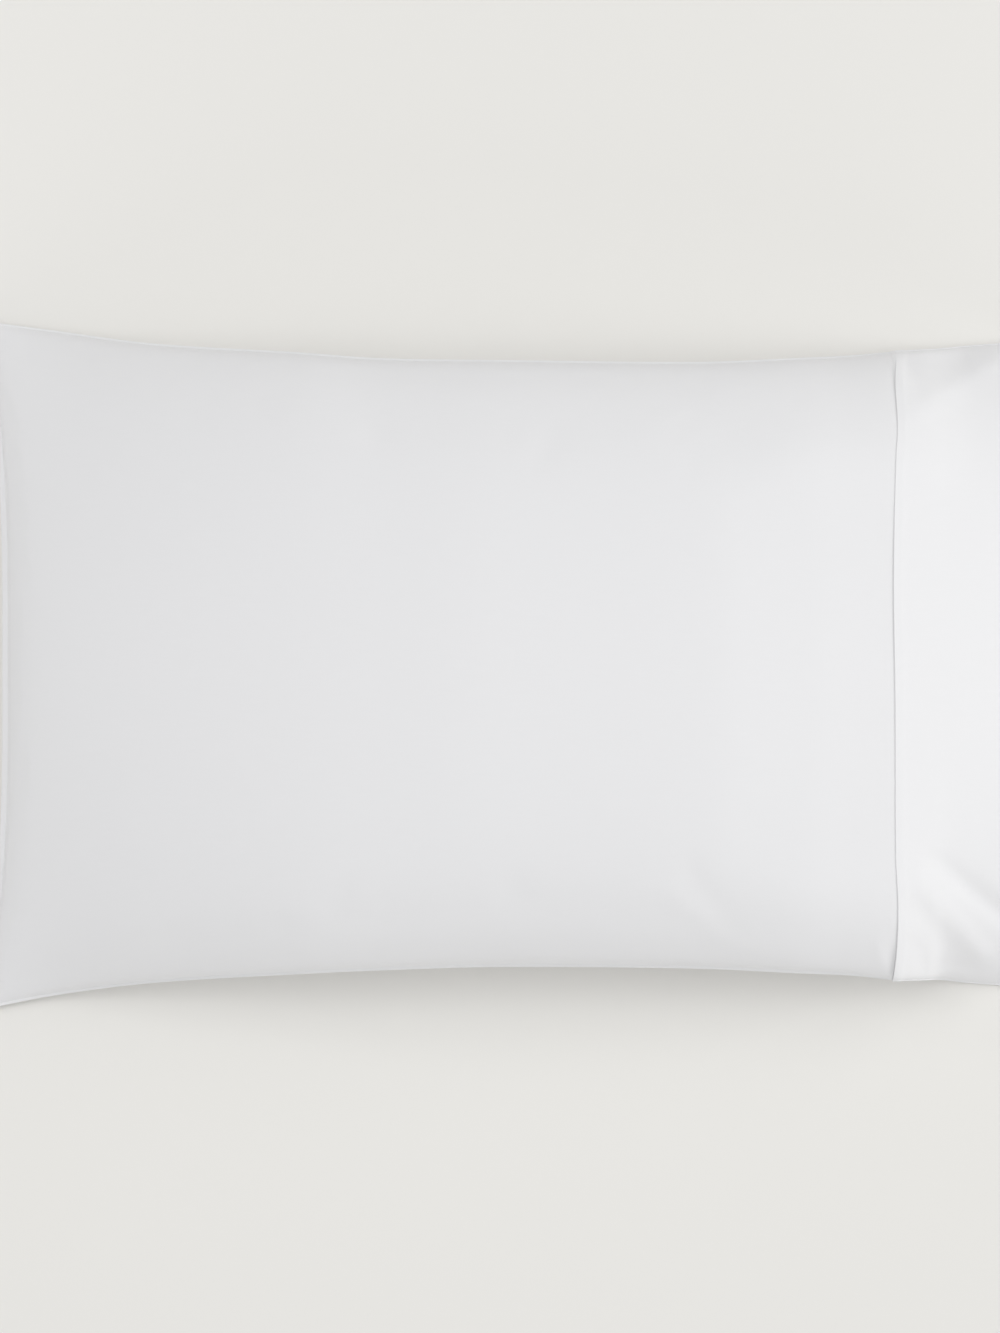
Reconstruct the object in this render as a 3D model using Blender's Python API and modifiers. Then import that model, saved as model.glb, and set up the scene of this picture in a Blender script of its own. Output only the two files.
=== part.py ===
"""Standard pillowcase with a 4 inch cuff, filled and lying flat on its back.

Frame: +X runs from the sewn closed end to the open mouth, +Y is the back side edge, +Z is up.
The origin is the middle of the rectangle that the case covers, on the surface it lies on.
Two pieces are sewn together: the filled body bag and the doubled cuff round its mouth.
Lengths are in metres.
"""
import math
from collections import namedtuple

import bmesh
import bpy

# ---------------------------------------------------------------- driving dimensions
LENGTH = 0.749                  # closed end corners to mouth, of a 30 inch case that is filled
HALF_LENGTH = LENGTH / 2
SEAM_X = 0.281                  # where the body's side edges meet the cuff
END_DRAW_IN = 0.0236            # how far the closed end is drawn in between its corners
MOUTH_DRAW_IN = 0.0055          # the same at the mouth, whose middle arches up
BOW_POWER = 3.0                 # flatness of those drawn-in lines
END_MID_Z = 0.060               # height of the closed end's seam at its middle
NOSE_REACH = 0.330              # distance over which the closed end swells to full height
ROUNDNESS = 2.1                 # superellipse power of the cross sections
BELLY = 0.088                   # how deep the underside would hang below the side edges
FLOOR_BLEND = 0.006             # softness of the turn from the underside onto the surface

CUFF_WALL = 0.0015              # the cuff's doubled cloth
CUFF_STANDS_PROUD = 0.0022      # the cuff's face outside the body's face at the seam
BODY_LIFT = 0.0024              # the body's underside above the surface where it enters the cuff
LIFT_START_X = 0.232
LIFT_END_X = 0.266

TUCK_REACH = 0.054              # how far the filled end reaches into the cuff at its middle
TUCK_CORNER = 0.014             # how much less it reaches at its corners
TUCK_NARROWING = 0.035          # how much its half width draws in by the tip
TUCK_TIP_Z = 0.026              # height of its tip

BODY_STATIONS = 36
CUFF_STATIONS = 10
AROUND = 80                     # points round every section, shared so that the pieces nest
SEWN_WITHIN = 0.00002           # points closer than this are sewn into one

BODY_COLOUR = (0.86, 0.86, 0.87)
CUFF_COLOUR = (0.88, 0.88, 0.89)
COTTON_ROUGHNESS = 0.85

# Outline and heights, a row for each cross section from the closed end to the mouth.
# back and front are the side edges' Y, edge_z their mean height, top_z the middle's height,
# and lean how far the front edge is above edge_z, as the back edge is below it.
Section = namedtuple("Section", "x back front edge_z top_z lean")

BODY_SECTIONS = (
    Section(-HALF_LENGTH, 0.2479, -0.2479, 0.010, 0.147, 0.0),
    Section(-0.319, 0.2400, -0.2364, 0.022, 0.148, 0.0),
    Section(-0.247, 0.2294, -0.2261, 0.042, 0.149, 0.0),
    Section(-0.140, 0.2216, -0.2184, 0.059, 0.150, 0.0),
    Section(-0.085, 0.2174, -0.2157, 0.062, 0.1505, 0.0),
    Section(0.001, 0.2160, -0.2131, 0.063, 0.151, 0.0),
    Section(0.143, 0.2153, -0.2144, 0.058, 0.142, 0.005),
    Section(0.214, 0.2188, -0.2176, 0.050, 0.1285, 0.012),
    Section(0.250, 0.2208, -0.2189, 0.043, 0.1185, 0.017),
    Section(SEAM_X, 0.2226, -0.2209, 0.037, 0.1068, 0.020),
)

CUFF_SECTIONS = (
    Section(0.2755, 0.2246, -0.2230, 0.038, 0.1128, 0.020),
    Section(0.2824, 0.2250, -0.2233, 0.036, 0.1098, 0.020),
    Section(0.3047, 0.2267, -0.2246, 0.023, 0.1003, 0.012),
    Section(0.3162, 0.2275, -0.2249, 0.013, 0.0954, 0.003),
    Section(0.3350, 0.2297, -0.2279, 0.007, 0.0874, 0.0),
    Section(0.3604, 0.2317, -0.2298, 0.004, 0.0766, 0.0),
    Section(HALF_LENGTH, 0.2329, -0.2312, 0.004, 0.0706, 0.0),
)

# The seam between body and cuff bows over the crown and wanders a little.
SeamPoint = namedtuple("SeamPoint", "y x")

SEAM_LINE = (
    SeamPoint(-0.2240, 0.2788),
    SeamPoint(-0.2035, 0.2801),
    SeamPoint(-0.1710, 0.2800),
    SeamPoint(-0.1355, 0.2779),
    SeamPoint(-0.0230, 0.2766),
    SeamPoint(0.0600, 0.2757),
    SeamPoint(0.1446, 0.2784),
    SeamPoint(0.1680, 0.2804),
    SeamPoint(0.2015, 0.2806),
    SeamPoint(0.2230, 0.2838),
)

# Soft creases in the cuff's upper cloth, each a straight ridge (+) or trough (-) in plan.
Crease = namedtuple("Crease", "x0 y0 x1 y1 width height")

CUFF_CREASES = (
    Crease(0.2960, -0.1280, 0.384, -0.198, 0.0080, -0.0036),
    Crease(0.2910, -0.1450, 0.356, -0.216, 0.0090, 0.0028),
    Crease(0.2960, -0.1670, 0.328, -0.208, 0.0090, -0.0018),
    Crease(0.2880, 0.2110, 0.352, 0.236, 0.0160, -0.0022),
    Crease(0.2810, 0.1710, 0.378, 0.234, 0.0100, 0.0018),
)

CREASE_END_FADE = 0.25          # share of a crease's length that tapers at each end
CREASE_SIDE_FADE = 0.3          # share of the height over which creases die out at the side edges


# ---------------------------------------------------------------- shape helpers
def smooth_step(low, high, value):
    """0 below low, 1 above high, and an eased curve between."""
    t = min(max((value - low) / (high - low), 0.0), 1.0)
    return t * t * (3.0 - 2.0 * t)


def through_rows(rows, key, field, at):
    """Value of a field at a place along the rows, on a smooth curve through them."""
    places = [getattr(row, key) for row in rows]
    values = [getattr(row, field) for row in rows]
    last = len(rows) - 1
    at = min(max(at, places[0]), places[last])
    i = 0
    while i < last - 1 and at > places[i + 1]:
        i += 1
    slopes = []
    for j in (i, i + 1):
        before = max(j - 1, 0)
        after = min(j + 1, last)
        slopes.append((values[after] - values[before]) / (places[after] - places[before]))
    step = places[i + 1] - places[i]
    t = (at - places[i]) / step
    start_part = (2 * t**3 - 3 * t**2 + 1) * values[i] + (t**3 - 2 * t**2 + t) * step * slopes[0]
    end_part = (3 * t**2 - 2 * t**3) * values[i + 1] + (t**3 - t**2) * step * slopes[1]
    return start_part + end_part


def settle_on(floor, height):
    """Height pressed flat where it would go below the floor, with a soft turn."""
    above = height - floor
    if above <= -FLOOR_BLEND:
        return floor
    if above >= FLOOR_BLEND:
        return height
    return floor + (above + FLOOR_BLEND) ** 2 / (4.0 * FLOOR_BLEND)


def swell(distance, reach):
    """Quarter-ellipse rise from 0 at a sewn edge to 1 at its reach."""
    left = 1.0 - min(max(distance / reach, 0.0), 1.0)
    return math.sqrt(1.0 - left * left)


def ring_share(angle):
    """Share of the half width and of the height that a ring's point has at an angle."""
    across = math.copysign(abs(math.cos(angle)) ** (2.0 / ROUNDNESS), math.cos(angle))
    upward = math.copysign(abs(math.sin(angle)) ** (2.0 / ROUNDNESS), math.sin(angle))
    return across, upward


def edge_to_edge(rows, x, across, inset):
    """Y between the two side edges, each drawn in by the inset."""
    back = through_rows(rows, "x", "back", x) - inset
    front = through_rows(rows, "x", "front", x) + inset
    return (back + front) / 2 + across * (back - front) / 2


def crease_lift(x, y):
    """Sum of the cuff's creases at a place in plan."""
    total = 0.0
    for crease in CUFF_CREASES:
        run_x = crease.x1 - crease.x0
        run_y = crease.y1 - crease.y0
        run = math.hypot(run_x, run_y)
        along = ((x - crease.x0) * run_x + (y - crease.y0) * run_y) / (run * run)
        aside = ((x - crease.x0) * run_y - (y - crease.y0) * run_x) / run
        fade = smooth_step(0.0, CREASE_END_FADE, along) * smooth_step(0.0, CREASE_END_FADE, 1.0 - along)
        total += crease.height * fade * math.exp(-((aside / crease.width) ** 2))
    return total


# ---------------------------------------------------------------- the two surfaces
def end_seam_x(across):
    """X of the closed end's drawn-in seam."""
    return -HALF_LENGTH + END_DRAW_IN * (1.0 - abs(across) ** BOW_POWER)


def body_point(station, angle):
    """Point of the body bag: station 0 is the closed end's seam, 1 the tip inside the cuff."""
    across, upward = ring_share(angle)
    start = end_seam_x(across)
    finish = SEAM_X + TUCK_REACH - TUCK_CORNER * abs(across) ** BOW_POWER
    x = start + (finish - start) * (1.0 - math.cos(math.pi * station)) / 2
    if x <= SEAM_X:
        rows = BODY_SECTIONS
        tucked = 0.0
        inset = 0.0
    else:
        rows = CUFF_SECTIONS
        tucked = (x - SEAM_X) / TUCK_REACH
        inset = CUFF_STANDS_PROUD + TUCK_NARROWING * tucked * tucked
    y = edge_to_edge(rows, x, across, inset)
    edge_z = through_rows(rows, "x", "edge_z", x)
    top_z = through_rows(rows, "x", "top_z", x)
    lean = through_rows(rows, "x", "lean", x)
    if tucked > 0.0:
        seam_edge_z = BODY_SECTIONS[-1].edge_z
        plane = seam_edge_z + (TUCK_TIP_Z - seam_edge_z) * tucked
        edge_z = plane
        top_z -= CUFF_STANDS_PROUD + CUFF_WALL
        lean = BODY_SECTIONS[-1].lean * (1.0 - tucked)
    else:
        bow = 1.0 - smooth_step(-HALF_LENGTH, 0.0, x)
        plane = edge_z + (END_MID_Z - edge_z) * (1.0 - across * across) * bow
        edge_z += (END_MID_Z - edge_z) * bow
    plane -= lean * across
    fullness = swell(x - start, NOSE_REACH) * swell(finish - x, TUCK_REACH)
    floor = BODY_LIFT * smooth_step(LIFT_START_X, LIFT_END_X, x)
    if upward >= 0.0:
        z = plane + (top_z - edge_z + lean * across) * fullness * upward
    else:
        z = plane + BELLY * fullness * upward
    return x, y, settle_on(floor, z)


def cuff_point(station, angle):
    """Point of the cuff's outer face: station 0 is the seam, 1 the mouth."""
    across, upward = ring_share(angle)
    half_width = CUFF_SECTIONS[-1].back
    seam = through_rows(SEAM_LINE, "y", "x", across * half_width)
    mouth = HALF_LENGTH - MOUTH_DRAW_IN * (1.0 - abs(across) ** BOW_POWER)
    x = seam + (mouth - seam) * station
    y = edge_to_edge(CUFF_SECTIONS, x, across, 0.0)
    plane = through_rows(CUFF_SECTIONS, "x", "edge_z", x)
    plane -= through_rows(CUFF_SECTIONS, "x", "lean", x) * across
    top_z = through_rows(CUFF_SECTIONS, "x", "top_z", x)
    if upward >= 0.0:
        z = plane + (top_z - plane) * upward
        z += crease_lift(x, y) * smooth_step(0.0, CREASE_SIDE_FADE, upward)
    else:
        z = plane + BELLY * upward
    return x, y, settle_on(0.0, z)


# ---------------------------------------------------------------- building
def clear_scene():
    """Start from an empty scene."""
    for item in list(bpy.data.objects):
        bpy.data.objects.remove(item, do_unlink=True)


def cloth_material(name, colour):
    """Plain white cotton."""
    material = bpy.data.materials.new(name)
    material.use_nodes = True
    shader = material.node_tree.nodes["Principled BSDF"]
    shader.inputs["Base Color"].default_value = (*colour, 1.0)
    shader.inputs["Roughness"].default_value = COTTON_ROUGHNESS
    shader.inputs["Metallic"].default_value = 0.0
    return material


def rolled_grid(name, stations, surface_point, collection, material):
    """A grid rolled into a tube on a surface function and sewn where its points meet."""
    mesh = bpy.data.meshes.new(name)
    shape = bmesh.new()
    bmesh.ops.create_grid(shape, x_segments=stations, y_segments=AROUND, size=1.0)
    for vertex in shape.verts:
        station = (vertex.co.x + 1.0) / 2
        angle = math.pi * (vertex.co.y + 1.0 + 1.0 / AROUND)
        vertex.co = surface_point(station, angle)
    bmesh.ops.remove_doubles(shape, verts=shape.verts, dist=SEWN_WITHIN)
    bmesh.ops.recalc_face_normals(shape, faces=shape.faces)
    shape.to_mesh(mesh)
    shape.free()
    mesh.materials.append(material)
    mesh.shade_smooth()
    piece = bpy.data.objects.new(name, mesh)
    collection.objects.link(piece)
    return piece


def build_body(collection):
    """The bag of plain cloth with its filling: one solid, sewn shut at the closed end."""
    material = cloth_material("body_cloth", BODY_COLOUR)
    return rolled_grid("case_body", BODY_STATIONS, body_point, collection, material)


def build_cuff(collection):
    """The cuff: an open band of doubled cloth, made thick inwards from its outer face."""
    material = cloth_material("cuff_cloth", CUFF_COLOUR)
    cuff = rolled_grid("cuff", CUFF_STATIONS, cuff_point, collection, material)
    wall = cuff.modifiers.new("doubled cloth", "SOLIDIFY")
    wall.thickness = CUFF_WALL
    wall.offset = -1.0
    wall.use_even_offset = True
    return cuff


def main():
    clear_scene()
    collection = bpy.data.collections.new("pillowcase")
    bpy.context.scene.collection.children.link(collection)
    build_body(collection)
    build_cuff(collection)


main()
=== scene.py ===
import math
from collections import namedtuple

import bmesh
import bpy
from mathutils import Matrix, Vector


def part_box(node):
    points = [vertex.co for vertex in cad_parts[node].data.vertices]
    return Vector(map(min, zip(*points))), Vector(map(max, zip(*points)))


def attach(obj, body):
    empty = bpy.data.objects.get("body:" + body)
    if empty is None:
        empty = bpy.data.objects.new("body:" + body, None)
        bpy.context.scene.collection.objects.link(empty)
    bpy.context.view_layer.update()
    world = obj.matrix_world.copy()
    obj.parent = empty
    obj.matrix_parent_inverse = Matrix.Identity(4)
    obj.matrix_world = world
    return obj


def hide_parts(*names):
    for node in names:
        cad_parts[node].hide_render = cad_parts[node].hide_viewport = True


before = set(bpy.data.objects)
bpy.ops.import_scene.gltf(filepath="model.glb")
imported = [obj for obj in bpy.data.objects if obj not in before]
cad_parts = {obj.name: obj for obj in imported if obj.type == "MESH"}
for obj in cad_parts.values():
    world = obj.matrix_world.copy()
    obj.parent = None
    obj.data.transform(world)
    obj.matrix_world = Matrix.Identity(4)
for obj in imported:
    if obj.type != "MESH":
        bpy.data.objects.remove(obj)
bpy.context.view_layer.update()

# A standard white pillowcase, filled and lying flat: the body bag and the doubled cuff.
# +X runs from the closed end to the mouth, +Y is the back side edge. Lengths are in metres.

MM = 0.001
BODY_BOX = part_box("case_body")
CUFF_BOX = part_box("cuff")

# ---------------------------------------------------------------- driving dimensions
CLOSED_END_X = BODY_BOX[0][0]
MOUTH_X = CUFF_BOX[1][0]
SEAM_X = 0.281                  # where the body's side edges meet the cuff
END_DRAW_IN = 0.0236            # how far the closed end is drawn in between its corners
MOUTH_DRAW_IN = 0.0055          # the same at the mouth, whose middle arches up
BOW_POWER = 3.0                 # flatness of those drawn-in lines
END_MID_Z = 0.060               # height of the closed end's seam at its middle
NOSE_REACH = 0.330              # distance over which the closed end swells to full height
ROUNDNESS = 2.1                 # superellipse power of the cross sections
BELLY = 0.088                   # how deep the underside would hang below the side edges
FLOOR_BLEND = 0.006             # softness of the turn from the underside onto the surface

BODY_LIFT = 0.0014              # the body's underside above the surface where it enters the cuff
LIFT_START_X = 0.232
LIFT_END_X = 0.266

CUFF_WALL = 0.0006              # two layers of cotton
FOLD_RISE = 0.0004              # extra thickness of the seam allowance inside the cuff's fold
FOLD_FLAT = 0.0050              # how wide that allowance is before it steps down
FOLD_TAPER = 0.0095             # where it has stepped down to the plain cuff
GROOVE_DEPTH = 0.0003           # how far the body dips into the seam near the seam's ends
GROOVE_WIDTH = 0.0018
GROOVE_FROM = 0.78              # share of the half width where that dip begins

TUCK_STEP = 0.002               # distance past the seam over which the body steps inside the cuff
TUCK_INSET = 0.0018             # how far it steps in from the cuff's side edges
TUCK_STEP_DOWN = 0.0008         # how far it steps down there, besides the fold's rise
TUCK_REACH = 0.054              # how far the filled end reaches into the cuff at its middle
TUCK_CORNER = 0.014             # how much less it reaches at its corners
TUCK_NARROWING = 0.060          # how much its half width draws in by the tip
TUCK_DROP = 0.006               # how much further its top falls below the cuff's by the tip
TUCK_TIP_Z = 0.026              # height of its tip
TROUGHS_BY = 0.12               # share of that reach by which it dips under the cuff's troughs

SIDE_PINCH = 0.3                # how much the upper cloth flattens beside the side seams
SIDE_PINCH_FADE_X = 0.18        # from here to the cuff that flattening fades out
CORNER_PINCH = 0.6              # how much the cloth flattens at the closed end's corners
CORNER_END_X = -0.25            # and where that has faded out
MOUTH_PINCH = 0.7               # how much it flattens at the mouth's corners
MOUTH_FLAT_X = 0.335            # and where that is complete
CREASE_SIDE_FADE = 0.3          # share of the height over which creases die away at a sewn edge

FRONT_LIP = 0.0024              # the sewn side edges stand out as narrow flat lips
BACK_LIP = 0.0016
LIP_DROOP = 0.6                 # how far a side lip droops, as a share of its reach
END_LIP = 0.0048                # and the closed end's seam as a wider one
CUFF_LIP = 0.0010
LIP_HALF = 0.0006               # half the thickness of a lip

BODY_AROUND = 120               # evenly spaced points round every section
CUFF_AROUND = 180
BESIDE_LIP = (0.9, 1.9)         # degrees: extra points beside the side seams
END_ROWS = (0.0, 0.25, 0.6, 1.5, 3.0)                   # millimetres in from the closed end
LIP_ROOT_ROW = 0.0003           # how far before the root of the closed end's lip the next row lies
FIRST_STEP = 0.0009             # spacing of the rows there, growing by STEP_GROWTH to BODY_STEP
STEP_GROWTH = 1.16
BODY_STEP = 0.0095
NEAR_SEAM = 0.075               # length before the cuff with finer rows
NEAR_SEAM_STEP = 0.004
SEAM_ROWS_REACH = 0.006         # and the length with the finest ones
SEAM_ROWS = (4.4, 3.2, 2.3, 1.6, 1.0, 0.5, 0.0)         # millimetres before the cuff's seam
TUCK_ROWS = 14
FOLD_ROWS = (0.0, 0.3, 0.8, 1.6, 3.2)                   # millimetres in from either fold of the cuff
ALLOWANCE_ROWS = (4.6, 5.5, 6.3, 7.2, 8.5)              # and from the seam, over the step down
CUFF_STEP = 0.0035              # row spacing along the rest of the cuff
MERGE_WITHIN = 0.00001          # points of the rolled cloth this close are one

CLOTH_QUALITY = 6               # the filling pushes the bag's cloth out, which is held at its seams
CLOTH_MASS = 0.15
CLOTH_TENSION = 20.0
CLOTH_SHEAR = 8.0
CLOTH_BENDING = 0.8
CLOTH_SHRINK = -0.002           # below 0, the cloth is that share larger than the filled shape
FILLING_PRESSURE = 4.0
SETTLE_FRAMES = 20
MOST_MOVE = 0.0008              # cap on how far simulation moves a point
FREE_FROM_SIDE = 6.0 * FRONT_LIP                        # the cloth is free this far in from a side
HELD_AT_END = 0.5 * END_LIP                             # held up to here at the closed end
FREE_FROM_END = 2.0 * END_LIP                           # and free from here
HELD_FROM_X = 0.120             # less and less free from here toward the cuff
HELD_TO_X = 0.255               # and held from here
HELD_BELOW_Z = 0.001            # held where it lies on the surface
FREE_ABOVE_Z = 0.008            # and free above this height
LOWEST_Z = 0.0005               # simulation brings no point below this height, if it was above it

# Outline and heights, a row for each cross section from the closed end to the mouth.
# back and front are the side edges' Y, edge_z their mean height, top_z the middle's height,
# and lean how far the front edge is above edge_z, as the back edge is below it.
Section = namedtuple("Section", "x back front edge_z top_z lean")

BODY_SECTIONS = (
    Section(CLOSED_END_X, 0.2481, -0.2481, 0.004, 0.147, 0.0),
    Section(-0.319, 0.2404, -0.2368, 0.010, 0.148, 0.0),
    Section(-0.247, 0.2296, -0.2263, 0.034, 0.149, 0.0),
    Section(-0.140, 0.2216, -0.2184, 0.059, 0.150, 0.0),
    Section(-0.085, 0.2174, -0.2157, 0.062, 0.1505, 0.0),
    Section(0.001, 0.2160, -0.2131, 0.063, 0.151, 0.0),
    Section(0.143, 0.2153, -0.2144, 0.058, 0.142, 0.005),
    Section(0.214, 0.2190, -0.2178, 0.050, 0.1285, 0.012),
    Section(0.250, 0.2214, -0.2194, 0.043, 0.1190, 0.017),
    Section(SEAM_X, 0.2245, -0.2229, 0.037, 0.1108, 0.020),
)

CUFF_SECTIONS = (
    Section(0.2755, 0.2246, -0.2230, 0.038, 0.1128, 0.020),
    Section(0.2824, 0.2250, -0.2233, 0.036, 0.1098, 0.020),
    Section(0.3047, 0.2267, -0.2249, 0.019, 0.1003, 0.006),
    Section(0.3162, 0.2275, -0.2254, 0.009, 0.0954, 0.0),
    Section(0.3350, 0.2297, -0.2279, 0.003, 0.0874, 0.0),
    Section(0.3604, 0.2317, -0.2298, 0.0015, 0.0766, 0.0),
    Section(MOUTH_X, 0.2329, -0.2312, 0.0010, 0.0706, 0.0),
)

# The seam between body and cuff bows over the crown and wanders a little.
SeamPoint = namedtuple("SeamPoint", "y x")

SEAM_LINE = (
    SeamPoint(-0.2240, 0.2788),
    SeamPoint(-0.2035, 0.2801),
    SeamPoint(-0.1710, 0.2800),
    SeamPoint(-0.1355, 0.2779),
    SeamPoint(-0.0230, 0.2766),
    SeamPoint(0.0600, 0.2757),
    SeamPoint(0.1446, 0.2784),
    SeamPoint(0.1680, 0.2804),
    SeamPoint(0.2015, 0.2806),
    SeamPoint(0.2230, 0.2838),
)

# Profile of a lip from its root to its tip, as shares of its reach and of its half thickness.
LipPoint = namedtuple("LipPoint", "out rise")

LIP_PROFILE = (
    LipPoint(0.0, 1.25),
    LipPoint(0.35, 1.0),
    LipPoint(0.7, 0.95),
    LipPoint(0.95, 0.6),
)

# Soft creases in the upper cloth, each a straight ridge (+) or trough (-) in plan.
# fade is the share of its length that tapers at each end.
Crease = namedtuple("Crease", "x0 y0 x1 y1 width height fade")

CUFF_CREASES = (
    Crease(0.2960, -0.1280, 0.384, -0.198, 0.0075, -0.0036, 0.18),
    Crease(0.2890, -0.1440, 0.352, -0.2145, 0.0085, 0.0028, 0.15),
    Crease(0.2880, -0.1620, 0.322, -0.208, 0.0085, -0.0020, 0.20),
    Crease(0.3040, -0.2100, 0.350, -0.2185, 0.0065, -0.0015, 0.25),
    Crease(0.2930, -0.1880, 0.305, -0.226, 0.0055, -0.0020, 0.30),
    Crease(0.2820, 0.2095, 0.338, 0.2315, 0.0180, -0.0040, 0.18),
    Crease(0.2810, 0.1710, 0.366, 0.2265, 0.0090, 0.0018, 0.18),
)

BODY_CREASES = (
    Crease(0.2640, -0.188, 0.2745, -0.222, 0.0040, 0.0010, 0.30),
    Crease(0.2730, -0.194, 0.2815, -0.222, 0.0042, -0.0006, 0.30),
)

# Broad soft shoulders of filling on either side of the mouth, and hollows outside them, in body
# and cuff alike.
SHOULDERS = (
    Crease(0.150, 0.148, 0.345, 0.158, 0.0280, 0.0040, 0.30),
    Crease(0.150, -0.160, 0.345, -0.168, 0.0260, 0.0030, 0.30),
    Crease(0.190, 0.214, 0.340, 0.222, 0.0220, -0.0020, 0.30),
    Crease(0.200, -0.206, 0.345, -0.214, 0.0160, -0.0016, 0.30),
)


# ---------------------------------------------------------------- shape helpers
def smooth_step(low, high, value):
    """0 below low, 1 above high, and an eased curve between."""
    t = min(max((value - low) / (high - low), 0.0), 1.0)
    return t * t * (3.0 - 2.0 * t)


def bell(distance, width):
    """1 at the middle, fading out either side."""
    return math.exp(-((distance / width) ** 2))


def through_rows(rows, key, field, at):
    """Value of a field at a place along the rows, on a smooth curve through them."""
    last = len(rows) - 1
    at = min(max(at, getattr(rows[0], key)), getattr(rows[last], key))
    i = 0
    while i < last - 1 and at > getattr(rows[i + 1], key):
        i += 1
    slopes = []
    for j in (i, i + 1):
        before = rows[max(j - 1, 0)]
        after = rows[min(j + 1, last)]
        run = getattr(after, key) - getattr(before, key)
        slopes.append((getattr(after, field) - getattr(before, field)) / run)
    step = getattr(rows[i + 1], key) - getattr(rows[i], key)
    t = (at - getattr(rows[i], key)) / step
    start = (2 * t**3 - 3 * t**2 + 1) * getattr(rows[i], field) + (t**3 - 2 * t**2 + t) * step * slopes[0]
    end = (3 * t**2 - 2 * t**3) * getattr(rows[i + 1], field) + (t**3 - t**2) * step * slopes[1]
    return start + end


def settle_on(floor, height):
    """Height pressed flat where it would go below the floor, with a soft turn."""
    above = height - floor
    if above <= -FLOOR_BLEND:
        return floor
    if above >= FLOOR_BLEND:
        return height
    return floor + (above + FLOOR_BLEND) ** 2 / (4.0 * FLOOR_BLEND)


def swell(distance, reach):
    """Quarter-ellipse rise from 0 at a sewn edge to 1 at its reach."""
    left = 1.0 - min(max(distance / reach, 0.0), 1.0)
    return math.sqrt(1.0 - left * left)


def ring_share(angle):
    """Share of the half width and of the height that a ring's point has at an angle."""
    across = math.copysign(abs(math.cos(angle)) ** (2.0 / ROUNDNESS), math.cos(angle))
    upward = math.copysign(abs(math.sin(angle)) ** (2.0 / ROUNDNESS), math.sin(angle))
    return across, upward


def pinched(upward, pinch):
    """Share of the height where the cloth leaves its sewn edge at a gentler slope, by the pinch."""
    return upward * (1.0 - pinch * (1.0 - abs(upward)) ** 2)


def edge_to_edge(rows, x, across, back_inset, front_inset):
    """Y between the two side edges, each drawn in by its inset."""
    back = through_rows(rows, "x", "back", x) - back_inset
    front = through_rows(rows, "x", "front", x) + front_inset
    return (back + front) / 2 + across * (back - front) / 2


def crease_lift(creases, x, y):
    """Sum of the creases at a place in plan."""
    total = 0.0
    for crease in creases:
        run_x = crease.x1 - crease.x0
        run_y = crease.y1 - crease.y0
        run = math.hypot(run_x, run_y)
        along = ((x - crease.x0) * run_x + (y - crease.y0) * run_y) / (run * run)
        aside = ((x - crease.x0) * run_y - (y - crease.y0) * run_x) / run
        fade = smooth_step(0.0, crease.fade, along) * smooth_step(0.0, crease.fade, 1.0 - along)
        total += crease.height * fade * bell(aside, crease.width)
    return total


# ---------------------------------------------------------------- the two surfaces
def end_seam_x(across):
    """X of the closed end's drawn-in seam."""
    return CLOSED_END_X + END_DRAW_IN * (1.0 - abs(across) ** BOW_POWER)


def cuff_seam_x(across):
    """X of the seam between body and cuff."""
    return through_rows(SEAM_LINE, "y", "x", across * CUFF_SECTIONS[1].back)


def tuck_end_x(across):
    """X of the filled end's tip inside the cuff."""
    return SEAM_X + TUCK_REACH - TUCK_CORNER * abs(across) ** BOW_POWER


def mouth_x(across):
    """X of the cuff's open edge."""
    return MOUTH_X - MOUTH_DRAW_IN * (1.0 - abs(across) ** BOW_POWER)


def side_lip(lip, x):
    """Reach of a side edge's lip, which narrows to the cuff's at the seam."""
    return lip + (CUFF_LIP - lip) * smooth_step(LIFT_START_X, SEAM_X, x)


def body_side(x, across, lip, past_seam, tucked):
    """Y of the body at a share across it, and its side lip's reach there."""
    rows = CUFF_SECTIONS if tucked > 0.0 else BODY_SECTIONS
    inset = TUCK_INSET * past_seam + TUCK_NARROWING * tucked * tucked
    back_lip, front_lip = side_lip(BACK_LIP, x), side_lip(FRONT_LIP, x)
    y = edge_to_edge(rows, x, across, inset + back_lip, inset + front_lip)
    reach = back_lip if across > 0.0 else front_lip
    return y + math.copysign(reach * lip.out, across), reach


def body_heights(x, across, past_seam, tucked):
    """Height of the surface that joins the sewn edges, and the rise from it to the crown."""
    if tucked > 0.0:
        rows = CUFF_SECTIONS
        seam_section = BODY_SECTIONS[-1]
        lean = seam_section.lean * (1.0 - tucked) ** 2
        edge_z = seam_section.edge_z + (TUCK_TIP_Z - seam_section.edge_z) * tucked
        plane = edge_z
    else:
        rows = BODY_SECTIONS
        lean = through_rows(rows, "x", "lean", x)
        edge_z = through_rows(rows, "x", "edge_z", x)
        bow = 1.0 - smooth_step(CLOSED_END_X, 0.0, x)
        plane = edge_z + (END_MID_Z - edge_z) * (1.0 - across * across) * bow
        edge_z += (END_MID_Z - edge_z) * bow
    top_z = through_rows(rows, "x", "top_z", x)
    top_z -= (TUCK_STEP_DOWN + FOLD_RISE) * past_seam + TUCK_DROP * tucked
    return plane - lean * across, top_z - edge_z + lean * across


def body_relief(x, y, across, tucked):
    """Creases and shoulders of the upper cloth, its dip into the seam and under the cuff's troughs."""
    toward_side = smooth_step(GROOVE_FROM, 1.0, abs(across))
    groove = GROOVE_DEPTH * toward_side * bell(max(cuff_seam_x(across) - x, 0.0), GROOVE_WIDTH)
    under_cuff = smooth_step(0.0, TROUGHS_BY, tucked) * min(crease_lift(CUFF_CREASES, x, y), 0.0)
    return crease_lift(BODY_CREASES + SHOULDERS, x, y) + under_cuff - groove


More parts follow.
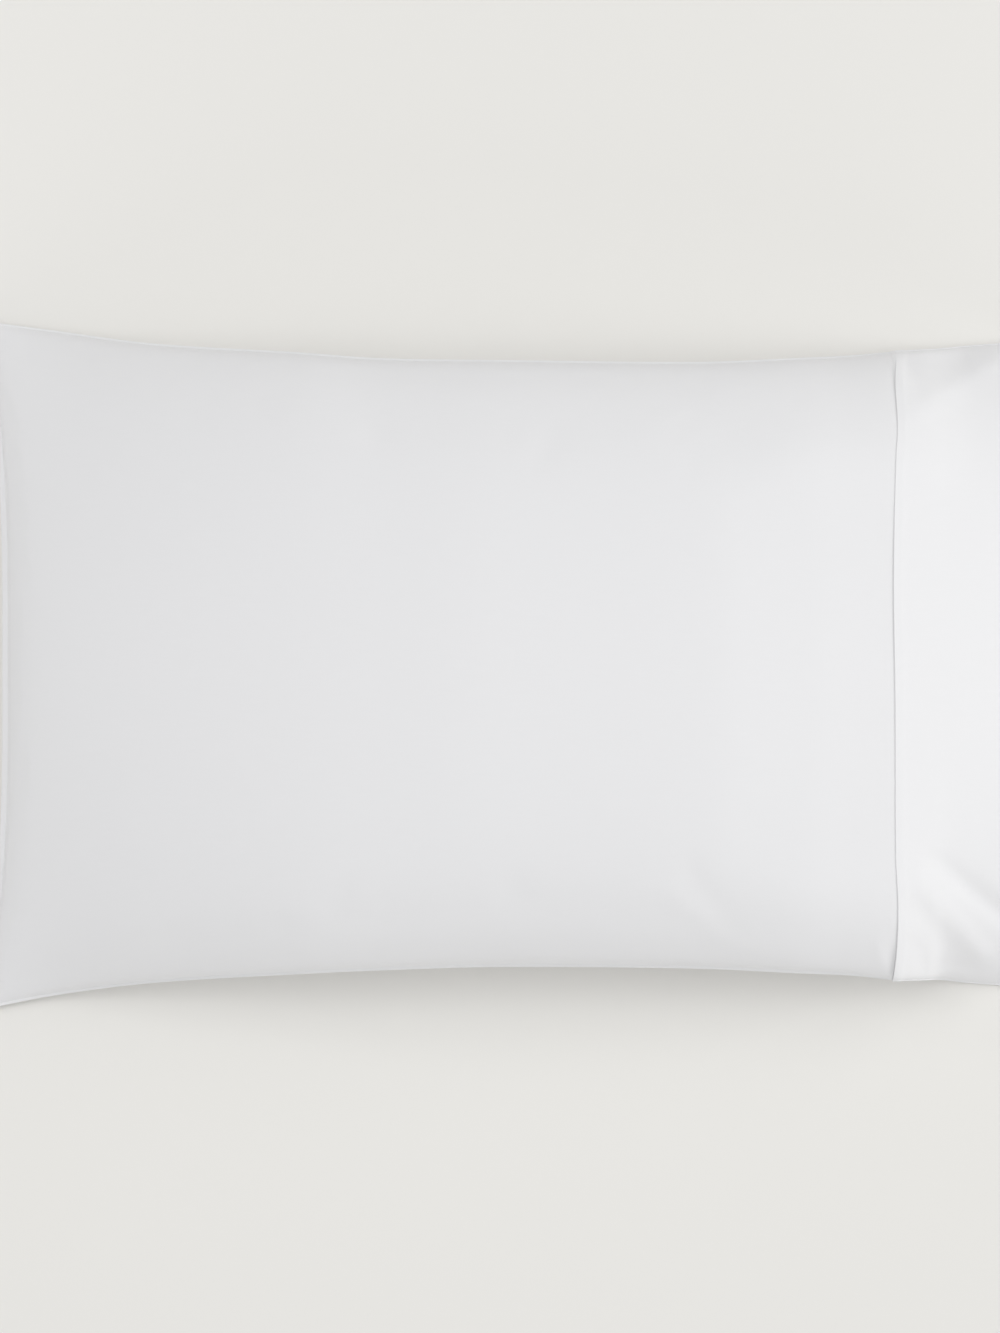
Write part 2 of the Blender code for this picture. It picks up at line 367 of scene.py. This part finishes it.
def body_point(x, column):
    """Point of the body bag at a place along it."""
    across, upward, lip = column
    from_end = x - end_seam_x(across)
    to_tip = tuck_end_x(across) - x
    past_seam = smooth_step(0.0, TUCK_STEP, x - cuff_seam_x(across))
    tucked = max(x - SEAM_X, 0.0) / TUCK_REACH
    y, reach = body_side(x, across, lip, past_seam, tucked)
    plane, rise = body_heights(x, across, past_seam, tucked)
    fullness = swell(from_end - END_LIP, NOSE_REACH) * swell(to_tip, TUCK_REACH)
    thickness = LIP_HALF * lip.rise * swell(from_end, LIP_HALF) * swell(to_tip, LIP_HALF)
    thickness -= LIP_DROOP * reach * lip.out * fullness
    corner = 1.0 - smooth_step(CLOSED_END_X, CORNER_END_X, x)
    upward = pinched(upward, CORNER_PINCH * corner)
    if upward > 0.0:
        toward_cuff = smooth_step(SIDE_PINCH_FADE_X, SEAM_X, x)
        upward = pinched(upward, SIDE_PINCH * (1.0 - corner) * (1.0 - toward_cuff))
        z = plane + rise * fullness * upward
        z += body_relief(x, y, across, tucked) * smooth_step(0.0, CREASE_SIDE_FADE, upward) * fullness
    else:
        z = plane + BELLY * fullness * upward
    floor = BODY_LIFT * smooth_step(LIFT_START_X, LIFT_END_X, x)
    return x, y, settle_on(floor, z + thickness)


def cuff_point(x, column):
    """Point of the cuff's outer face at a place along it."""
    across, upward, lip = column
    from_seam = x - cuff_seam_x(across)
    fold = FOLD_RISE * (1.0 - smooth_step(FOLD_FLAT, FOLD_TAPER, from_seam))
    y = edge_to_edge(CUFF_SECTIONS, x, across, CUFF_LIP - fold, CUFF_LIP - fold)
    y += math.copysign(CUFF_LIP * lip.out, across)
    edge_z = through_rows(CUFF_SECTIONS, "x", "edge_z", x)
    top_z = through_rows(CUFF_SECTIONS, "x", "top_z", x)
    plane = edge_z - through_rows(CUFF_SECTIONS, "x", "lean", x) * across
    upward = pinched(upward, MOUTH_PINCH * smooth_step(SEAM_X, MOUTH_FLAT_X, x))
    if upward > 0.0:
        z = plane + (top_z - plane) * upward
        relief = crease_lift(CUFF_CREASES + SHOULDERS, x, y) + fold
        z += relief * smooth_step(0.0, CREASE_SIDE_FADE, upward)
    else:
        z = plane + BELLY * upward
    return x, y, settle_on(0.0, z + LIP_HALF * lip.rise)


# ---------------------------------------------------------------- rows and columns of the cloth
Column = namedtuple("Column", "across upward lip")


def half_ring(around, up):
    """Columns over the upper (up 1) or lower (up -1) cloth, from the back lip to the front lip."""
    def on_cloth(degrees):
        across, upward = ring_share(math.radians(degrees))
        return Column(across, up * upward, LipPoint(0.0, up * LIP_PROFILE[0].rise))

    def on_lip(side):
        return [Column(side, 0.0, LipPoint(point.out, up * point.rise)) for point in LIP_PROFILE]

    step = 360.0 / around
    steps = [step * i for i in range(1, around // 2)]
    angles = list(BESIDE_LIP) + steps + [180.0 - angle for angle in reversed(BESIDE_LIP)]
    columns = [on_cloth(angle) for angle in angles]
    return list(reversed(on_lip(1.0))) + columns + on_lip(-1.0)


def ring(around):
    """Columns all the way round a section, from the back lip's tip."""
    tip = LipPoint(1.0, 0.0)
    back, front = Column(1.0, 0.0, tip), Column(-1.0, 0.0, tip)
    return [back] + half_ring(around, 1.0) + [front] + list(reversed(half_ring(around, -1.0)))


def body_rows():
    """Rows of the body: shares of the way to the cuff's seam, then shares of the tuck."""
    reach = SEAM_X - CLOSED_END_X
    places = [row * MM for row in END_ROWS] + [END_LIP - LIP_ROOT_ROW]
    step = FIRST_STEP
    while places[-1] + step < reach - NEAR_SEAM:
        places.append(places[-1] + step)
        step = min(step * STEP_GROWTH, BODY_STEP)
    start = places[-1]
    count = round((reach - start - SEAM_ROWS_REACH) / NEAR_SEAM_STEP)
    places += [start + (reach - start - SEAM_ROWS_REACH) * i / count for i in range(1, count + 1)]
    places += [reach - row * MM for row in SEAM_ROWS]
    rows = [("bag", place / reach) for place in places]
    rows += [("tuck", math.sin(math.pi / 2 * i / TUCK_ROWS)) for i in range(1, TUCK_ROWS + 1)]
    return rows


def body_row_x(row, across):
    """X of a row of the body at a place across it."""
    part, share = row
    if part == "bag":
        return end_seam_x(across) + (cuff_seam_x(across) - end_seam_x(across)) * share
    return cuff_seam_x(across) + (tuck_end_x(across) - cuff_seam_x(across)) * share


def cuff_rows():
    """Distances from the seam as shares of the cuff's depth, closer at the folds."""
    depth = MOUTH_X - SEAM_X
    seam_fold = [row * MM for row in FOLD_ROWS]
    allowance = [row * MM for row in ALLOWANCE_ROWS]
    start, finish = allowance[-1], depth - seam_fold[-1]
    count = int((finish - start) / CUFF_STEP)
    middle = [start + (finish - start) * i / count for i in range(1, count)]
    mouth_fold = [depth - row for row in reversed(seam_fold)]
    return [place / depth for place in seam_fold + allowance + middle + mouth_fold]


def cuff_row_x(share, across):
    """X of a row of the cuff at a place across it."""
    return cuff_seam_x(across) + (mouth_x(across) - cuff_seam_x(across)) * share


# ---------------------------------------------------------------- making the pieces
def rolled_cloth(name, rows, columns, row_x, surface_point):
    """A grid primitive rolled round the case on a surface function, with its cloth's own UV map."""
    bpy.ops.object.select_all(action="DESELECT")
    bpy.ops.mesh.primitive_grid_add(x_subdivisions=len(rows) - 1, y_subdivisions=len(columns), size=2.0)
    piece = bpy.context.object
    piece.name = name
    piece.data.name = name
    shape = bmesh.new()
    shape.from_mesh(piece.data)
    threads = shape.loops.layers.uv.verify()
    places = {}
    for vertex in shape.verts:
        row = round((vertex.co.x + 1.0) / 2 * (len(rows) - 1))
        column = round((vertex.co.y + 1.0) / 2 * len(columns))
        places[vertex] = (row, column)
    girth = [0.0]
    middle_row = rows[len(rows) // 2]
    for i in range(len(columns)):
        here, there = columns[i], columns[(i + 1) % len(columns)]
        start = Vector(surface_point(row_x(middle_row, here.across), here))
        end = Vector(surface_point(row_x(middle_row, there.across), there))
        girth.append(girth[-1] + (end - start).length)
    for face in shape.faces:
        for loop in face.loops:
            row, column = places[loop.vert]
            loop[threads].uv = (row_x(rows[row], 0.0), girth[column])
    for vertex, (row, column) in places.items():
        place = columns[column % len(columns)]
        vertex.co = surface_point(row_x(rows[row], place.across), place)
    bmesh.ops.remove_doubles(shape, verts=shape.verts, dist=MERGE_WITHIN)
    bmesh.ops.recalc_face_normals(shape, faces=shape.faces)
    shape.to_mesh(piece.data)
    shape.free()
    return piece


def apply_all(piece):
    """Applies the piece's modifiers in order."""
    bpy.ops.object.select_all(action="DESELECT")
    piece.select_set(True)
    bpy.context.view_layer.objects.active = piece
    for modifier in list(piece.modifiers):
        bpy.ops.object.modifier_apply(modifier=modifier.name)
    piece.data.shade_smooth()


def add_subdivision(piece):
    """One level of subdivision, the same in the viewport and the render."""
    smooth = piece.modifiers.new("smooth", "SUBSURF")
    smooth.levels = 1
    smooth.render_levels = 1


def settle_cloth(body):
    """Eases the bag's cloth out under its filling's pressure, held at its seams and its underside."""
    before = [vertex.co.copy() for vertex in body.data.vertices]
    held = body.vertex_groups.new(name="held")
    for vertex in body.data.vertices:
        x, y, z = vertex.co
        rows_x = min(max(x, CLOSED_END_X), SEAM_X)
        back = through_rows(BODY_SECTIONS, "x", "back", rows_x)
        front = through_rows(BODY_SECTIONS, "x", "front", rows_x)
        across = min(max((2.0 * y - back - front) / (back - front), -1.0), 1.0)
        from_side = min(back - y, y - front)
        from_end = x - end_seam_x(across)
        free = smooth_step(FRONT_LIP, FREE_FROM_SIDE, from_side)
        free *= smooth_step(HELD_AT_END, FREE_FROM_END, from_end)
        free *= 1.0 - smooth_step(HELD_FROM_X, HELD_TO_X, x)
        free *= smooth_step(HELD_BELOW_Z, FREE_ABOVE_Z, z)
        held.add([vertex.index], 1.0 - free, "REPLACE")
    cloth = body.modifiers.new("filling", "CLOTH")
    cloth.settings.quality = CLOTH_QUALITY
    cloth.settings.mass = CLOTH_MASS
    cloth.settings.tension_stiffness = CLOTH_TENSION
    cloth.settings.compression_stiffness = CLOTH_TENSION
    cloth.settings.shear_stiffness = CLOTH_SHEAR
    cloth.settings.bending_stiffness = CLOTH_BENDING
    cloth.settings.vertex_group_mass = "held"
    cloth.settings.use_pressure = True
    cloth.settings.uniform_pressure_force = FILLING_PRESSURE
    cloth.settings.shrink_min = CLOTH_SHRINK
    cloth.settings.effector_weights.gravity = 0.0
    cloth.collision_settings.use_collision = False
    cloth.collision_settings.use_self_collision = False
    for step in range(1, SETTLE_FRAMES + 1):
        bpy.context.scene.frame_set(step)
    bpy.ops.object.select_all(action="DESELECT")
    body.select_set(True)
    bpy.context.view_layer.objects.active = body
    bpy.ops.object.modifier_apply(modifier=cloth.name)
    bpy.context.scene.frame_set(1)
    body.vertex_groups.clear()
    for vertex, start in zip(body.data.vertices, before):
        move = vertex.co - start
        if move.length > MOST_MOVE:
            move *= MOST_MOVE / move.length
        vertex.co = start + move
        vertex.co.z = max(vertex.co.z, min(start.z, LOWEST_Z))


def make_body():
    """The filled bag."""
    body = rolled_cloth("filled_body", body_rows(), ring(BODY_AROUND), body_row_x, body_point)
    settle_cloth(body)
    add_subdivision(body)
    apply_all(body)
    return body


def make_cuff():
    """The doubled band round the mouth."""
    cuff = rolled_cloth("cuff_band", cuff_rows(), ring(CUFF_AROUND), cuff_row_x, cuff_point)
    wall = cuff.modifiers.new("two layers", "SOLIDIFY")
    wall.thickness = CUFF_WALL
    wall.offset = -1.0
    wall.use_even_offset = False
    add_subdivision(cuff)
    apply_all(cuff)
    return cuff


# ---------------------------------------------------------------- materials
BODY_WHITE = (0.83, 0.83, 0.84)
CUFF_WHITE = (0.84, 0.84, 0.85)
SLUB_WHITE = 0.985              # share of the cotton's colour where slubs are dullest
COTTON_ROUGHNESS = 0.85
COTTON_SPECULAR = 0.25
SHEEN = 0.12
SHEEN_ROUGHNESS = 0.45
THREAD_PITCH = 0.00042          # percale threads, centre to centre
THREAD_WANDER = 0.6             # how unevenly they run
THREAD_DEPTH = 0.00003
WEAVE_STRENGTH = 0.6
SLUB_LENGTH = 0.020
SLUB_SLIMNESS = 14.0            # length of a slub over its width
SLUB_STRENGTH = 0.5
SWELLS_PER_METRE = 16.0         # soft swells that ironing leaves
SWELL_HEIGHT = 0.00016

FLOOR_WHITE = (0.84, 0.83, 0.80)
FLOOR_ROUGHNESS = 0.9
FLOOR_SPECULAR = 0.1


def link(tree, from_node, output, to_node, socket):
    """Joins one node's output to another's input."""
    tree.links.new(from_node.outputs[output], to_node.inputs[socket])


def bump(tree, height_node, output, strength, distance, under=None):
    """A bump node on a height, over the bump under it."""
    node = tree.nodes.new("ShaderNodeBump")
    node.inputs["Strength"].default_value = strength
    node.inputs["Distance"].default_value = distance
    link(tree, height_node, output, node, "Height")
    if under is not None:
        link(tree, under, "Normal", node, "Normal")
    return node


def crossed_threads(tree, cloth):
    """Warp and weft as two crossed rows of waves."""
    waves = []
    for direction in ("X", "Y"):
        wave = tree.nodes.new("ShaderNodeTexWave")
        wave.wave_type = "BANDS"
        wave.bands_direction = direction
        wave.inputs["Scale"].default_value = math.pi / 10 / THREAD_PITCH
        wave.inputs["Distortion"].default_value = THREAD_WANDER
        wave.inputs["Detail"].default_value = 1.0
        wave.inputs["Detail Scale"].default_value = 0.6
        link(tree, cloth, "UV", wave, "Vector")
        waves.append(wave)
    weave = tree.nodes.new("ShaderNodeMath")
    weave.operation = "MAXIMUM"
    link(tree, waves[0], "Fac", weave, 0)
    link(tree, waves[1], "Fac", weave, 1)
    return weave


def thread_slubs(tree, cloth):
    """Faint thick places along the threads."""
    slub_map = tree.nodes.new("ShaderNodeMapping")
    slub_map.inputs["Scale"].default_value = (1.0 / SLUB_LENGTH, SLUB_SLIMNESS / SLUB_LENGTH, 1.0)
    link(tree, cloth, "UV", slub_map, "Vector")
    slubs = tree.nodes.new("ShaderNodeTexNoise")
    slubs.inputs["Scale"].default_value = 1.0
    slubs.inputs["Detail"].default_value = 3.0
    link(tree, slub_map, "Vector", slubs, "Vector")
    return slubs


def ironed_swells(tree):
    """Broad soft unevenness of the whole cloth."""
    place = tree.nodes.new("ShaderNodeTexCoord")
    swells = tree.nodes.new("ShaderNodeTexNoise")
    swells.inputs["Scale"].default_value = SWELLS_PER_METRE
    swells.inputs["Detail"].default_value = 2.0
    swells.inputs["Roughness"].default_value = 0.4
    link(tree, place, "Object", swells, "Vector")
    return swells


def cotton(name, colour):
    """White percale: fine crossed threads, faint slubs, a soft sheen and slightly uneven tone."""
    material = bpy.data.materials.new(name)
    material.use_nodes = True
    tree = material.node_tree
    shader = tree.nodes["Principled BSDF"]
    shader.inputs["Roughness"].default_value = COTTON_ROUGHNESS
    shader.inputs["Sheen Weight"].default_value = SHEEN
    shader.inputs["Sheen Roughness"].default_value = SHEEN_ROUGHNESS
    shader.inputs["Specular IOR Level"].default_value = COTTON_SPECULAR
    cloth = tree.nodes.new("ShaderNodeUVMap")
    cloth.uv_map = "UVMap"
    weave = crossed_threads(tree, cloth)
    slubs = thread_slubs(tree, cloth)
    swells = ironed_swells(tree)

    tone = tree.nodes.new("ShaderNodeMix")
    tone.data_type = "RGBA"
    tone.inputs["A"].default_value = (*[c * SLUB_WHITE for c in colour], 1.0)
    tone.inputs["B"].default_value = (*colour, 1.0)
    link(tree, slubs, "Fac", tone, "Factor")
    link(tree, tone, "Result", shader, "Base Color")

    swell_bump = bump(tree, swells, "Fac", 1.0, SWELL_HEIGHT)
    slub_bump = bump(tree, slubs, "Fac", SLUB_STRENGTH, THREAD_DEPTH, under=swell_bump)
    weave_bump = bump(tree, weave, "Value", WEAVE_STRENGTH, THREAD_DEPTH, under=slub_bump)
    link(tree, weave_bump, "Normal", shader, "Normal")
    return material


def floor_paint():
    """A plain pale, slightly warm surface."""
    material = bpy.data.materials.new("pale surface")
    material.use_nodes = True
    shader = material.node_tree.nodes["Principled BSDF"]
    shader.inputs["Base Color"].default_value = (*FLOOR_WHITE, 1.0)
    shader.inputs["Roughness"].default_value = FLOOR_ROUGHNESS
    shader.inputs["Specular IOR Level"].default_value = FLOOR_SPECULAR
    return material


def dress(piece, material):
    """Gives a piece its only material."""
    piece.data.materials.clear()
    piece.data.materials.append(material)


# ---------------------------------------------------------------- studio
CAMERA_HEIGHT = 3.595
CAMERA_LENS = 135.0             # millimetres
CAMERA_X = 0.00125
CAMERA_Y = -0.0007
CAMERA_FAR = 50.0
FLOOR_SIDE = 8.0
FLOOR_BELOW = 0.0002            # the floor's clearance below the case
SKY_STRENGTH = 0.445
SOFTBOX_DISTANCE = 3.0

# Softboxes aimed at the case. Azimuth 0 is +X and 90 is +Y, angles are in degrees, side is in
# metres and power in watts.
Softbox = namedtuple("Softbox", "name azimuth elevation side power")

SOFTBOXES = (
    Softbox("right low", 0.0, 20.0, 1.6, 34.0),
    Softbox("back right", 45.0, 42.0, 1.6, 8.2),
    Softbox("back left high", 135.0, 65.0, 1.6, 13.0),
    Softbox("left high", 180.0, 65.0, 1.6, 11.5),
    Softbox("front low", 270.0, 20.0, 1.6, 14.5),
    Softbox("small back left low", 150.0, 35.0, 0.5, 4.1),
    Softbox("small back left high", 150.0, 55.0, 0.5, 4.0),
)


def make_camera():
    """Straight above the case, its back edge at the top of the frame."""
    data = bpy.data.cameras.new("camera")
    data.lens = CAMERA_LENS
    data.clip_end = CAMERA_FAR
    camera = bpy.data.objects.new("camera", data)
    camera.location = (CAMERA_X, CAMERA_Y, CAMERA_HEIGHT)
    bpy.context.scene.collection.objects.link(camera)
    bpy.context.scene.camera = camera


def make_floor():
    """The plain surface that the case lies on."""
    bpy.ops.object.select_all(action="DESELECT")
    bpy.ops.mesh.primitive_plane_add(size=FLOOR_SIDE, location=(0.0, 0.0, -FLOOR_BELOW))
    floor = bpy.context.object
    floor.name = "floor"
    dress(floor, floor_paint())


def softbox(box):
    """A square area light aimed at the case."""
    data = bpy.data.lights.new(box.name, "AREA")
    data.shape = "SQUARE"
    data.size = box.side
    data.energy = box.power
    lamp = bpy.data.objects.new(box.name, data)
    turn, rise = math.radians(box.azimuth), math.radians(box.elevation)
    way = Vector((math.cos(turn) * math.cos(rise), math.sin(turn) * math.cos(rise), math.sin(rise)))
    lamp.location = way * SOFTBOX_DISTANCE
    lamp.rotation_euler = way.to_track_quat("Z", "Y").to_euler()
    bpy.context.scene.collection.objects.link(lamp)


def make_lights():
    """An even white sky and the softboxes."""
    world = bpy.data.worlds.new("studio")
    bpy.context.scene.world = world
    world.use_nodes = True
    sky = world.node_tree.nodes["Background"]
    sky.inputs["Color"].default_value = (1.0, 1.0, 1.0, 1.0)
    sky.inputs["Strength"].default_value = SKY_STRENGTH
    for box in SOFTBOXES:
        softbox(box)


# ---------------------------------------------------------------- putting it together
make_camera()
make_floor()
make_lights()

body = make_body()
dress(body, cotton("body cotton", BODY_WHITE))
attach(body, "root")
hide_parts("case_body")

cuff = make_cuff()
dress(cuff, cotton("cuff cotton", CUFF_WHITE))
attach(cuff, "root")
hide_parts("cuff")

bpy.context.scene.view_settings.view_transform = "Standard"
